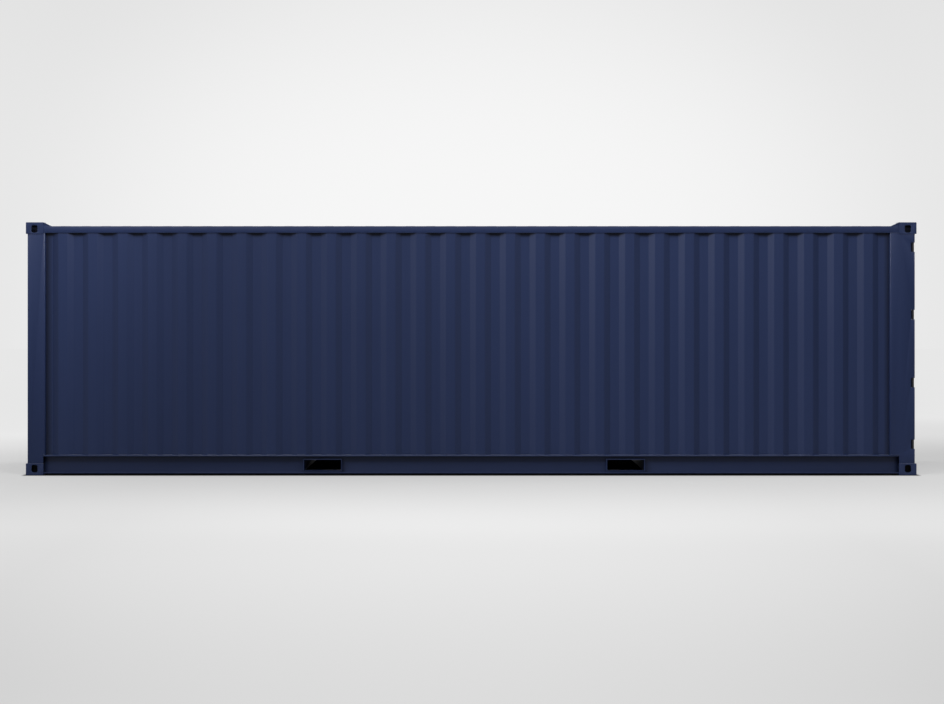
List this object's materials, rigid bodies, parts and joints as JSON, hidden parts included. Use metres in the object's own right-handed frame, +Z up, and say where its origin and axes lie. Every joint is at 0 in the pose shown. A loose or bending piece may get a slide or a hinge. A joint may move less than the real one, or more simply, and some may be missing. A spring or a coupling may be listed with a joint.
{
  "type": "30 ft shipping container",
  "caption": "Long corrugated steel freight container with corner castings, fork pockets, a plywood floor and a pair of swinging end doors with lock rods.",
  "frame": {"origin": "on the ground under the middle of the container", "axes": "+X along the length towards the doors, +Y across to the right-hand side, +Z up"},
  "size_m": [9.125, 2.438, 2.591],
  "materials": {
    "container_paint": "satin",
    "base_coating": "matte",
    "zinc_steel": "satin",
    "hinge_steel": "matte",
    "seal_rubber": "matte",
    "floor_plywood": "satin"
  },
  "bodies": {
    "frame": {"bottom_rail_left": "container_paint", "bottom_rail_right": "container_paint", "corner_casting_front_left_bottom": "container_paint", "corner_casting_front_left_top": "container_paint", "corner_casting_front_right_bottom": "container_paint", "corner_casting_front_right_top": "container_paint", "corner_casting_rear_left_bottom": "container_paint", "corner_casting_rear_left_top": "container_paint", "corner_casting_rear_right_bottom": "container_paint", "corner_casting_rear_right_top": "container_paint", "cross_members": "base_coating", "floor_boards": "floor_plywood", "floor_centre_strip": "container_paint", "fork_pocket_front": "container_paint", "fork_pocket_rear": "container_paint", "front_header": "container_paint", "front_post_left": "container_paint", "front_post_right": "container_paint", "front_sill": "container_paint", "front_wall": "container_paint", "rear_header": "container_paint", "rear_post_left": "container_paint", "rear_post_right": "container_paint", "rear_sill": "container_paint", "roof": "container_paint", "side_wall_left": "container_paint", "side_wall_right": "container_paint", "top_rail_left": "container_paint", "top_rail_right": "container_paint"},
    "door_left": {"door_frame_left": "container_paint", "door_hinges_left": "hinge_steel", "door_panel_left": "container_paint", "door_seal_left": "seal_rubber", "handles_left": "zinc_steel", "lock_guides_left": "zinc_steel", "lock_rods_left": "zinc_steel"},
    "door_right": {"door_frame_right": "container_paint", "door_hinges_right": "hinge_steel", "door_panel_right": "container_paint", "door_seal_right": "seal_rubber", "handles_right": "zinc_steel", "lock_guides_right": "zinc_steel", "lock_rods_right": "zinc_steel"}
  },
  "joints": [
    {"name": "left_door_hinge", "type": "hinge", "parent": "frame", "child": "door_left", "pos_m": [4.528, -1.195, 0], "axis": [0, 0, -1], "range_deg": [0, 258]},
    {"name": "right_door_hinge", "type": "hinge", "parent": "frame", "child": "door_right", "pos_m": [4.528, 1.195, 0], "axis": [0, 0, 1], "range_deg": [0, 258]}
  ]
}
